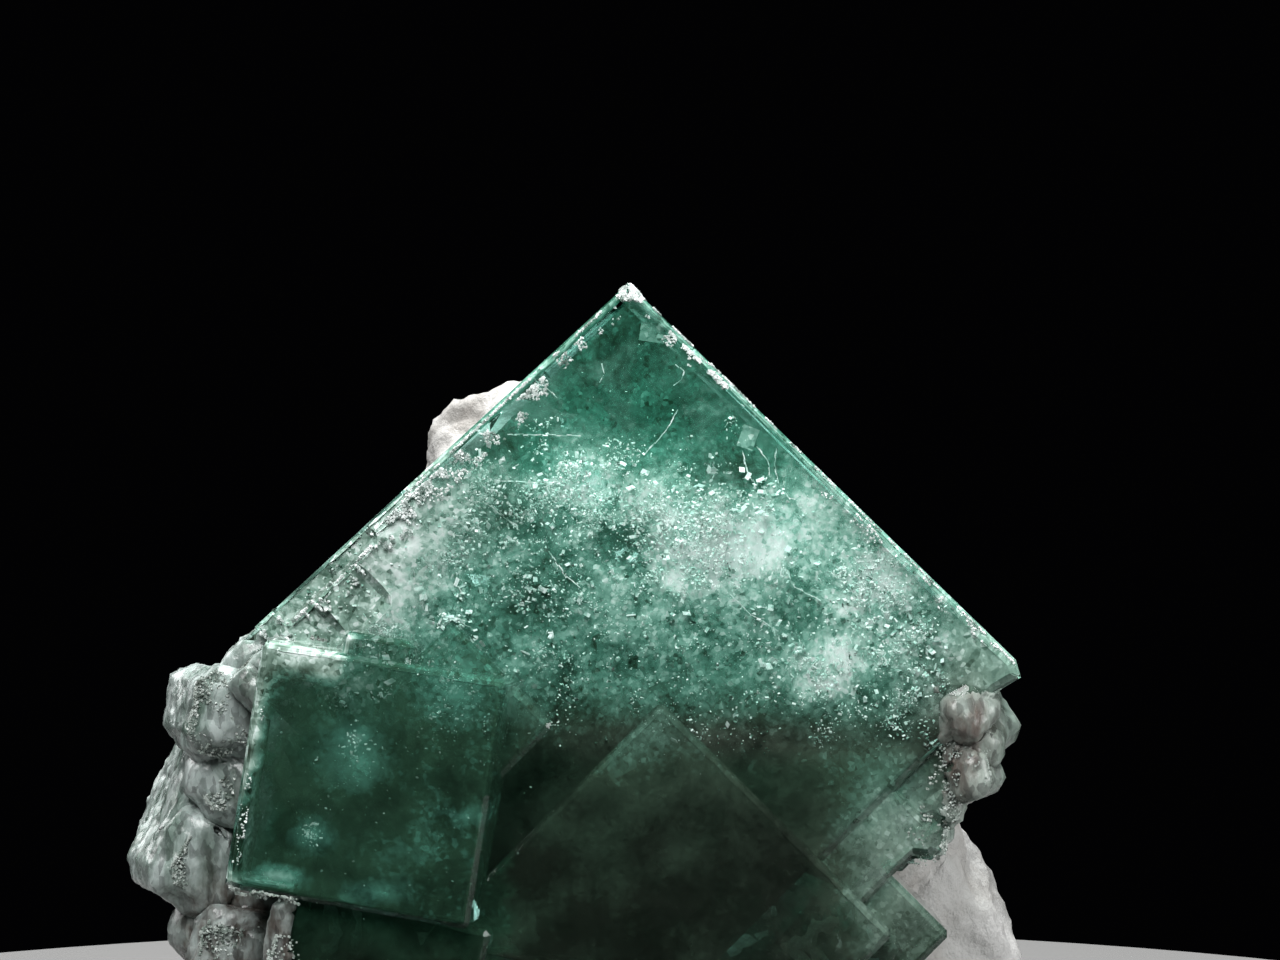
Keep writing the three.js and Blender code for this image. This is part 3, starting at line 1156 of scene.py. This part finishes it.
@dataclass
class Veils:
    """Cloudy sheets inside a crystal, one behind another."""

    name: str
    sheets: tuple[Sheet, ...]
    cloud: Cloud = field(default_factory=Cloud)
    cells: int = 60
    thickness: float = 0.02
    wave_width: float = 3.5
    wave_shift: float = 7.3

    def build(self, finish: bpy.types.Material) -> bpy.types.Object:
        """Build the sheets.

        Args:
            finish: Their material.

        Returns:
            The piece.
        """
        bm = bmesh.new()
        layers = [bm.verts.layers.float.new(name) for name in Levels._fields]
        for number, sheet in enumerate(self.sheets):
            for vert in self.add_sheet(bm, sheet, number):
                place = (vert.co - FACE.middle) / MM
                levels = self.cloud.levels(place)
                levels = levels._replace(cover=levels.cover * sheet.cover, glow=levels.glow * sheet.glow)
                for layer, level in zip(layers, levels, strict=True):
                    vert[layer] = level
        bmesh.ops.recalc_face_normals(bm, faces=bm.faces)
        bmesh.ops.solidify(bm, geom=bm.faces, thickness=self.thickness * MM)
        return make_piece(self.name, bm, finish)

    def add_sheet(self, bm: bmesh.types.BMesh, sheet: Sheet, number: int) -> list[bmesh.types.BMVert]:
        """Add one sheet.

        Args:
            bm: The mesh that it is added to.
            sheet: The sheet.
            number: Its number, which shifts its waves.

        Returns:
            Its points.
        """
        turn = Matrix.Rotation(math.radians(sheet.roll), 4, "Y") @ Matrix.Rotation(math.radians(90), 4, "X")
        shape = Matrix.Diagonal((sheet.half[0] * MM, sheet.half[1] * MM, 1.0, 1.0))
        matrix = Matrix.Translation(FACE.at(sheet.middle)) @ turn @ shape
        cells = self.cells
        grid = bmesh.ops.create_grid(bm, x_segments=cells, y_segments=cells, size=1.0, matrix=matrix)
        shift = Vector((0.0, self.wave_shift * number, 0.0))
        for vert in grid["verts"]:
            vert.co.y += noise.noise(vert.co / (self.wave_width * MM) + shift) * sheet.wave * MM
        return grid["verts"]


@dataclass
class Haze:
    """The cloudy layer just under the crystals' faces, thin at the top and thick low down, dark with painted
    shade.
    """

    cloud: Cloud = field(default_factory=Cloud)
    depth: float = 0.16
    cell: float = 0.8
    face_front: float = -0.15
    face_back: float = 0.15
    edge_back: float = 0.45
    flank_right: float = -13.0
    corner: Spot = Spot(14.0, -0.8, 1.2, 2.2, 1.0)
    corner_levels: Levels = Levels(0.95, 0.46, 0.55, 0.4)
    edge_levels: Levels = Levels(0.9, 0.40, 0.2, 0.8)
    frosted_levels: Levels = Levels(0.95, 0.50, 0.6, 1.0)
    twin_foot: float = -8.3
    twin_right: float = -4.4
    twin_heights: tuple[float, ...] = (-7.7, -6.7, -4.9, -3.1, -1.4, -0.3, -0.1, 1.1)
    twin_lefts: tuple[float, ...] = (-14.0, -14.2, -13.9, -13.3, -13.1, -12.5, -10.2, -9.9)
    twin_spots: tuple[Spot, ...] = (
        Spot(-9.6, -3.0, 1.0, 0.8, 0.18),
        Spot(-9.9, -2.3, 0.3, 0.3, 0.26),
        Spot(-9.3, -3.75, 0.22, 0.14, 0.34),
        # painted glint: this pale spot stands for a teal glint in the twin
        Spot(-11.3, -5.8, 0.45, 0.4, 0.26),
        Spot(-9.0, -7.7, 0.9, 0.22, 0.20),
        Spot(-9.9, -8.1, 0.5, 0.20, 0.12),
        Spot(-8.0, -6.6, 1.2, 0.8, 0.06),
        Spot(-6.4, -0.8, 0.9, 0.9, 0.16),
        Spot(-5.8, -5.0, 0.8, 0.25, 0.16),
        Spot(-12.9, -7.4, 0.7, 0.16, 0.55),
    )

    def build(self, finish: bpy.types.Material) -> bpy.types.Object:
        """Build the layer.

        Args:
            finish: Its material.

        Returns:
            The piece.
        """
        bm = copy_of_node(CRYSTAL_NODE)
        refine(bm, self.cell * MM, 4)
        mend(bm)
        layers = [bm.verts.layers.float.new(name) for name in Levels._fields]
        bm.normal_update()
        moves = [(vert, vert.normal * self.depth * MM) for vert in bm.verts]
        for vert, move in moves:
            place = (vert.co - FACE.middle) / MM
            vert.co -= move
            for layer, level in zip(layers, self.levels(place), strict=True):
                vert[layer] = level
        hold_in_box(bm.verts, SKIN_MARGIN * MM)
        return make_piece("cloudy_skin", bm, finish)

    def levels(self, place: Vector) -> Levels:
        """Work out the layer's levels.

        Args:
            place: A place on the surface, in millimetres from the main face's middle.

        Returns:
            The levels.
        """
        if place.y < self.face_front:
            return self.front_levels(place)
        levels = self.cloud.levels(place)
        corner = self.corner.at(place)
        if corner > 0.1:
            return levels.toward(self.corner_levels, min(corner, 1.0))
        # painted shade: low on the right the layer turns to the dark levels of the crystals in front
        lower = graded(place.z + 0.8 * noise.noise(place / 1.2), (-6.5, -3.0), (1.0, 0.0))
        if place.x > 5.0 and place.y < 1.5 and lower > 0.0:
            return levels.toward(self.front_levels(place), lower * graded(place.x, (5.0, 7.0), (0.0, 1.0)))
        if place.y < self.face_back:
            return levels._replace(cover=0.30 * levels.cover + 0.55 * self.cloud.band(place))
        frosted = graded(place.x, (-7.5, -5.0), (1.0, 0.0)) * graded(place.y, (1.2, 2.4), (1.0, 0.0))
        if place.y < self.edge_back or frosted > 0.5:
            return self.edge_levels.toward(self.frosted_levels, frosted)
        if place.x < self.flank_right:
            return Levels(0.7, 0.45, 0.8, levels.grain)
        low = graded(place.z, (-6.0, 2.0, 6.0, 8.0), (0.5, 0.15, 0.10, 0.0))
        cover = graded(place.z, (5.0, 9.0), (0.3, 0.0)) * levels.cover + low
        return levels._replace(cover=cover, glow=levels.glow * 0.8)

    def front_levels(self, place: Vector) -> Levels:
        """Work out the levels on the crystals that stand in front of the main face, dark with painted shade.

        Args:
            place: A place on the surface, in millimetres from the main face's middle.

        Returns:
            The levels.
        """
        mottle = 0.10 * noise.noise(place / 1.6)
        if place.x < self.twin_right:
            ragged = 0.25 * noise.noise(place / 0.7)
            left = graded(place.z, self.twin_heights, self.twin_lefts)
            outside = graded(left - place.x + ragged, (0.0, 0.25), (0.0, 1.0))
            if place.z > self.twin_foot and outside > 0.0:
                pale = 0.52 + 0.6 * noise.noise(place / 0.5)
                return Levels(0.62 + 0.35 * outside, 0.15 + (pale - 0.15) * outside, 0.7 * outside, 0.9)
            # painted shade: the twin is kept dark, with a few pale spots
            glow = graded(place.z, (-10.5, -8.5, -2.0, 1.5), (0.04, 0.13, 0.12, 0.20))
            glow += sum(spot.at(place) for spot in self.twin_spots)
            grain = graded(place.x, (-8.5, -6.5), (0.22, 0.55))
            return Levels(0.62, glow + 0.6 * mottle, 0.0, grain)
        # painted shade: the lower crystals darken towards the bottom and lighten towards the right
        right = graded(place.x, (6.0, 9.0), (0.0, 0.42))
        right *= graded(place.z, (-12.0, -7.5), (0.45, 1.0))
        glow = graded(place.z, (-9.0, -5.0, -3.4, -2.0), (0.0, 0.05, 0.15, 0.26)) + right
        return Levels(0.72, glow + mottle, graded(place.x, (-4.0, 9.0), (0.30, 0.75)), 0.45)


def refine(bm: bmesh.types.BMesh, longest: float, rounds: int = 2) -> None:
    """Cut a mesh's edges until few are longer than a limit.

    Args:
        bm: The mesh.
        longest: The limit, in metres.
        rounds: How often the long edges are cut in half.
    """
    for _ in range(rounds):
        edges = [edge for edge in bm.edges if edge.calc_length() > longest]
        if not edges:
            return
        bmesh.ops.subdivide_edges(bm, edges=edges, cuts=1)
        bmesh.ops.triangulate(bm, faces=bm.faces)


def mend(bm: bmesh.types.BMesh) -> None:
    """Take out slivers, and faces that double another face or share an edge with two others.

    Args:
        bm: The mesh, all in triangles.
    """
    bmesh.ops.dissolve_degenerate(bm, edges=bm.edges, dist=SLIVER * MM)
    bmesh.ops.triangulate(bm, faces=bm.faces)
    seen: set[frozenset[bmesh.types.BMVert]] = set()
    doubled = []
    for face in bm.faces:
        corners = frozenset(face.verts)
        if corners in seen or any(len(edge.link_faces) > 2 for edge in face.edges):
            doubled.append(face)
        seen.add(corners)
    bmesh.ops.delete(bm, geom=doubled, context="FACES")


@dataclass(frozen=True)
class Region:
    """A box on the crystals that a crust covers, in millimetres."""

    low: Point
    high: Point

    def depth(self, place: Vector) -> float:
        """Measure how far inside the box a place is, in millimetres, below zero outside."""
        sides = zip(place, self.low, self.high, strict=True)
        return min(min(value - low, high - value) for value, low, high in sides)


@dataclass
class Crust:
    """A frosted crust of small crystals over a flank of the cluster.

    Its sizes are in millimetres. The knobs swell by about rise and the facets add about facet, and both fade
    out over border.
    """

    name: str
    regions: tuple[Region, ...]
    stains: tuple[Spot, ...]
    knob: float = 1.5
    rise: float = 0.34
    facet: float = 0.09
    facet_width: float = 0.4
    least: float = 0.02
    border: float = 0.6
    cell: float = 0.25
    sunk: float = 0.12

    def build(self, finish: bpy.types.Material) -> bpy.types.Object:
        """Build the crust.

        Args:
            finish: Its material.

        Returns:
            The piece.
        """
        bm = copy_of_node(CRYSTAL_NODE)
        for longest in (4.0, 1.6, 0.7, self.cell):
            self.keep(bm, -longest)
            refine(bm, longest * MM)
        self.keep(bm, 0.0)
        mend(bm)
        bm.verts.index_update()
        bm.normal_update()
        stain = bm.verts.layers.float.new("stain")
        moves = [(vert, vert.normal * self.height(vert.co)) for vert in bm.verts]
        for vert, move in moves:
            place = (vert.co - FACE.middle) / MM
            vert[stain] = min(sum(spot.at(place) for spot in self.stains), 1.0)
            vert.co += move
        for face in bm.faces:
            face.smooth = True
        self.close(bm)
        hold_in_box(bm.verts, SKIN_MARGIN * MM)
        return make_piece(self.name, bm, finish)

    def close(self, bm: bmesh.types.BMesh) -> None:
        """Give the crust a back that lies in the crystal, and close its border.

        Args:
            bm: The crust's outer surface.
        """
        bm.normal_update()
        inward = {vert.index: vert.normal * -self.sunk * MM for vert in bm.verts}
        number = bm.verts.layers.int.new("number")
        for vert in bm.verts:
            vert[number] = vert.index
        back = bmesh.ops.extrude_face_region(bm, geom=bm.faces, use_keep_orig=True)
        for item in back["geom"]:
            if isinstance(item, bmesh.types.BMVert):
                item.co += inward[item[number]]
        bmesh.ops.recalc_face_normals(bm, faces=bm.faces)

    def inside(self, spot: Vector) -> float:
        """Measure how far inside the crusted regions a point is, with a ragged border.

        Args:
            spot: The point, in metres.

        Returns:
            The distance in millimetres, below zero outside.
        """
        place = (spot - FACE.middle) / MM
        ragged = 0.6 * noise.noise(place / 1.5) + 0.3 * noise.noise(place / 0.5)
        return max(region.depth(place) for region in self.regions) + ragged

    def keep(self, bm: bmesh.types.BMesh, border: float) -> None:
        """Delete the faces outside the crusted regions.

        Args:
            bm: The mesh.
            border: How far outside a face may be, as a number below zero, in millimetres.
        """
        outside = [face for face in bm.faces if self.inside(face.calc_center_median()) < border * 2.0]
        bmesh.ops.delete(bm, geom=outside, context="FACES")

    def height(self, spot: Vector) -> float:
        """Work out how far the crust stands out at a point.

        Args:
            spot: The point on the crystals, in metres.

        Returns:
            The height in metres.
        """
        swell = 0.5 + 0.6 * noise.noise(spot / (self.knob * MM)) + 0.25 * noise.noise(spot / (0.5 * MM))
        cell = spot / (self.facet_width * MM)
        distances, points = noise.voronoi(cell)
        tilt = noise.noise_vector(points[0] * 3.7)
        facet = (0.6 + tilt.dot(cell - points[0])) * min((distances[1] - distances[0]) * 3.0, 1.0)
        border = min(max(self.inside(spot) / self.border, 0.0), 1.0)
        return (self.least + (self.rise * swell + self.facet * facet) * border) * MM


EDGE_STRIPS = (
    Strip((-0.4, 0.25, 13.5), (-14.6, 0.25, -0.1), (0.7, 0.0, -0.7), 0.10, 1300, (0.03, 0.08)),
    Strip((0.4, 0.25, 13.5), (13.8, 0.25, 0.1), (-0.7, 0.0, -0.7), 0.08, 1100, (0.03, 0.07)),
    Strip((-0.45, 0.3, 13.7), (0.45, 0.3, 13.7), (0.0, -0.6, -1.0), 0.45, 620, (0.03, 0.11), -1.0),
    Strip((0.0, 0.3, 13.9), (0.0, 2.6, 13.9), (0.0, 0.0, -1.0), 0.2, 240, (0.04, 0.12), -1.0),
    Strip((0.5, 0.0, 13.1), (2.6, 0.0, 11.1), (-0.7, 0.0, -0.7), 0.55, 420, (0.03, 0.08), 0.0),
    Strip((-0.6, 0.0, 13.0), (-3.0, 0.0, 10.8), (0.7, 0.0, -0.7), 0.40, 300, (0.03, 0.08), 0.0),
    Strip((2.9, 0.0, 10.8), (3.5, 0.0, 10.2), (-0.7, 0.0, -0.7), 0.2, 90, (0.04, 0.14), -1.0),
    Strip((-3.2, 0.0, 10.5), (-8.0, 0.0, 6.2), (0.7, 0.0, -0.7), 0.8, 1600, (0.03, 0.08), 0.05),
    Strip((-8.0, 0.0, 6.3), (-14.2, 0.0, 0.5), (0.7, 0.0, -0.7), 1.1, 1500, (0.03, 0.12), 0.1),
    Strip((7.0, 0.0, 6.7), (13.2, 0.0, 0.8), (-0.7, 0.0, -0.7), 0.5, 600, (0.03, 0.08), 0.15),
    Strip((-13.1, -3.0, -1.2), (-14.1, -3.0, -7.2), (-1.0, 0.0, 0.0), 0.35, 150, (0.025, 0.07), 0.0),
)
FLANK_STRIPS = (
    Strip((-16.4, 1.0, 0.4), (-16.4, 1.0, -16.0), (5.2, 0.0, 0.0), 1.0, 6500, (0.03, 0.10), -0.25, 0.22),
    Strip((-14.6, -3.4, -8.6), (-13.6, -3.4, -16.2), (2.4, 0.0, 0.0), 1.0, 1800, (0.03, 0.10), -0.25, 0.18),
    Strip((13.2, 0.0, -2.2), (11.8, 0.0, -7.0), (-2.0, 1.0, 0.0), 1.0, 1100, (0.03, 0.08), -0.1, 0.20),
)


@dataclass
class SurfaceFrost:
    """Tiny crystals on the surface of the crystals, along edges or over a flank."""

    name: str
    tree: BVHTree
    strips: tuple[Strip, ...]
    skew: float = 0.25
    seed: int = 23

    def build(self, finish: bpy.types.Material) -> bpy.types.Object:
        """Build the frost.

        Args:
            finish: Its material.

        Returns:
            The piece.
        """
        bm = bmesh.new()
        dice = random.Random(self.seed)
        for strip in self.strips:
            add_grains(bm, self.grains(strip, dice), dice, self.skew)
        hold_in_box(bm.verts, SKIN_MARGIN * MM)
        return make_piece(self.name, bm, finish)

    def grains(self, strip: Strip, dice: random.Random) -> Iterator[Grain]:
        """Find places on the crystal's surface along one strip.

        Args:
            strip: The strip.
            dice: Where the places come from.

        Yields:
            Each tiny crystal.
        """
        start, end, across = Vector(strip.start), Vector(strip.end), Vector(strip.across)
        for _ in range(strip.count):
            place = start.lerp(end, dice.random()) + across * strip.width * dice.random() ** 2.0
            if noise.noise(place / 0.6) < strip.bare:
                continue
            nearest, normal, _, _ = self.tree.find_nearest(FACE.at(tuple(place)))
            size = dice.uniform(*strip.size) * MM
            sizes = Vector((size, size, size * dice.uniform(0.5, 1.0)))
            yield Grain(nearest + normal * strip.lift * MM, sizes, free_turn(dice))


LEFT_REGIONS = (
    Region((-20.0, -0.5, -17.6), (-12.6, 12.0, 0.9)),
    Region((-17.0, -4.4, -17.6), (-12.2, 2.0, -8.2)),
)
LEFT_STAINS = (
    Spot(-13.0, -9.5, 2.6, 1.4, 1.1),
    Spot(-12.6, -12.6, 3.0, 2.4, 1.4),
    Spot(-13.6, -4.2, 0.8, 2.4, 0.5),
)
RIGHT_REGIONS = (
    Region((11.2, -1.0, -7.6), (15.6, 9.0, -1.0)),
)
RIGHT_STAINS = (
    Spot(12.0, -1.8, 0.8, 1.3, 1.0),
    Spot(11.6, -4.0, 0.8, 1.0, 0.8),
)


@dataclass(frozen=True)
class Lamp:
    """A soft studio lamp: where it stands and what it points at, in metres, and its size and power."""

    name: str
    place: Point
    size: float
    power: float

    def build(self) -> None:
        """Put the lamp in the scene."""
        data = bpy.data.lights.new(self.name, "AREA")
        data.shape = "DISK"
        data.size = self.size
        data.energy = self.power
        lamp = bpy.data.objects.new(self.name, data)
        lamp.location = self.place
        lamp.rotation_euler = (FACE.middle - Vector(self.place)).to_track_quat("-Z", "Y").to_euler()
        bpy.context.scene.collection.objects.link(lamp)


@dataclass
class Studio:
    """The pale floor, the soft lamps, the dark surroundings and the camera.

    The floor's radius is in metres and the camera's sizes are in millimetres. frame_width is how wide the
    picture is at the main face.
    """

    floor_radius: float = 0.048
    floor_color: Color = (0.15, 0.15, 0.148, 1.0)
    darkness: Color = (0.0007, 0.0007, 0.0009, 1.0)
    focal: float = 105.0
    sensor: float = 36.0
    frame_width: float = 46.13
    view_right: float = 0.29
    view_up: float = 6.77
    lamps: list[Lamp] = field(default_factory=lambda: [
        Lamp("top_lamp", (0.005, 0.035, 0.17), 0.10, 0.60),
        Lamp("left_lamp", (-0.13, 0.08, 0.09), 0.10, 0.13),
        Lamp("right_lamp", (0.12, -0.05, 0.04), 0.08, 0.115),
        Lamp("front_lamp", (-0.03, -0.14, 0.15), 0.13, 0.50),
    ])

    def build(self) -> None:
        """Build the studio."""
        self.floor()
        self.surroundings()
        self.camera()
        for lamp in self.lamps:
            lamp.build()

    def floor(self) -> None:
        """Lay the pale floor."""
        bm = bmesh.new()
        bmesh.ops.create_circle(bm, cap_ends=True, segments=96, radius=self.floor_radius)
        mesh = bpy.data.meshes.new("pale_floor")
        bm.to_mesh(mesh)
        bm.free()
        dress = Dress("pale_floor")
        shader = dress.surface(self.floor_color, 0.7, 1.45)
        mesh.materials.append(dress.finish(shader.outputs[0]))
        floor = bpy.data.objects.new("pale_floor", mesh)
        bpy.context.scene.collection.objects.link(floor)

    def surroundings(self) -> None:
        """Make the studio dark around the lamps."""
        world = bpy.data.worlds.new("dark_studio")
        world.use_nodes = True
        world.node_tree.nodes["Background"].inputs["Color"].default_value = self.darkness
        bpy.context.scene.world = world

    def camera(self) -> None:
        """Set up the camera, level and square to the main face, as in the photograph."""
        data = bpy.data.cameras.new("camera")
        data.lens = self.focal
        data.sensor_width = self.sensor
        data.clip_start = 0.01
        data.clip_end = 10.0
        distance = self.frame_width * self.focal / self.sensor
        camera = bpy.data.objects.new("camera", data)
        camera.location = FACE.at((self.view_right, -distance, self.view_up))
        camera.rotation_euler = (math.radians(90), 0.0, 0.0)
        bpy.context.scene.collection.objects.link(camera)
        bpy.context.scene.camera = camera


CLOUD_GLINT = GlintFinish(
    "cloud_shards",
    base=(0.94, 1.0, 0.97, 1.0),
    shade=(0.50, 0.80, 0.70, 1.0),
    deep=(0.06, 0.16, 0.11, 1.0),
    roughness=0.4,
)
BREAK_GLINT = GlintFinish(
    "broad_breaks",
    base=(1.0, 1.0, 1.0, 1.0),
    shade=(0.70, 0.90, 0.84, 1.0),
    deep=(0.25, 0.45, 0.38, 1.0),
    roughness=0.18,
    coat=1.0,
)
DARK_GLINT = GlintFinish(
    "dark_specks",
    base=(0.05, 0.13, 0.09, 1.0),
    shade=(0.012, 0.045, 0.028, 1.0),
    deep=(0.004, 0.010, 0.006, 1.0),
    roughness=0.5,
    coat=0.0,
)
FROST_GLINT = GlintFinish(
    "edge_frost",
    base=(0.74, 0.80, 0.78, 1.0),
    shade=(0.42, 0.50, 0.47, 1.0),
    deep=(0.12, 0.19, 0.16, 1.0),
    roughness=0.3,
)
SUGAR_GLINT = GlintFinish(
    "flank_sugar",
    base=(0.40, 0.45, 0.42, 1.0),
    shade=(0.20, 0.25, 0.22, 1.0),
    deep=(0.06, 0.07, 0.06, 1.0),
    roughness=0.35,
    coat=0.2,
)
LEFT_FROST = CrustFinish(
    "left_frost",
    pale=(0.43, 0.50, 0.48, 1.0),
    green=(0.10, 0.17, 0.135, 1.0),
    brown=(0.075, 0.065, 0.055, 1.0),
)
RIGHT_FROST = CrustFinish(
    "right_frost",
    pale=(0.34, 0.41, 0.37, 1.0),
    green=(0.18, 0.26, 0.22, 1.0),
    brown=(0.13, 0.11, 0.095, 1.0),
)


def set_light_paths() -> None:
    """Keep colours as they are and limit how often light is followed through the crystals."""
    scene = bpy.context.scene
    scene.view_settings.view_transform = "Standard"
    scene.cycles.caustics_refractive = False
    scene.cycles.caustics_reflective = False
    scene.cycles.transparent_max_bounces = 12
    scene.cycles.max_bounces = 7
    scene.cycles.glossy_bounces = 2
    scene.cycles.diffuse_bounces = 2


def main() -> None:
    """Build the specimen and its studio."""
    logging.basicConfig(level=logging.INFO, format="%(name)s %(message)s")
    set_light_paths()
    Studio().build()
    cluster = CrystalCluster()
    cluster.build(ClearFluorite().material())
    tree = cluster.tree
    RockLump(tree).build(WhiteRockFinish().material())
    InnerShards(tree, "cloud_shards", CLOUD_SHARDS, seed=11).build(CLOUD_GLINT.material())
    InnerShards(tree, "broad_breaks", BROAD_BREAKS, seed=12).build(BREAK_GLINT.material())
    InnerShards(tree, "dark_specks", DARK_SPECKS, seed=13).build(DARK_GLINT.material())
    Veils("cloudy_veils", MAIN_SHEETS + TOP_SHEETS + PALE_FLAKES).build(VeilFinish("cloudy_veil").material())
    Haze().build(VeilFinish("cloudy_skin").material())
    HairCracks().build(BREAK_GLINT.material())
    SurfaceFrost("edge_frost", tree, EDGE_STRIPS).build(FROST_GLINT.material())
    SurfaceFrost("flank_sugar", tree, FLANK_STRIPS).build(SUGAR_GLINT.material())
    Crust("left_flank_crust", LEFT_REGIONS, LEFT_STAINS).build(LEFT_FROST.material())
    Crust("right_crust", RIGHT_REGIONS, RIGHT_STAINS, knob=1.1, rise=0.30).build(RIGHT_FROST.material())


if __name__ == "__main__":
    main()
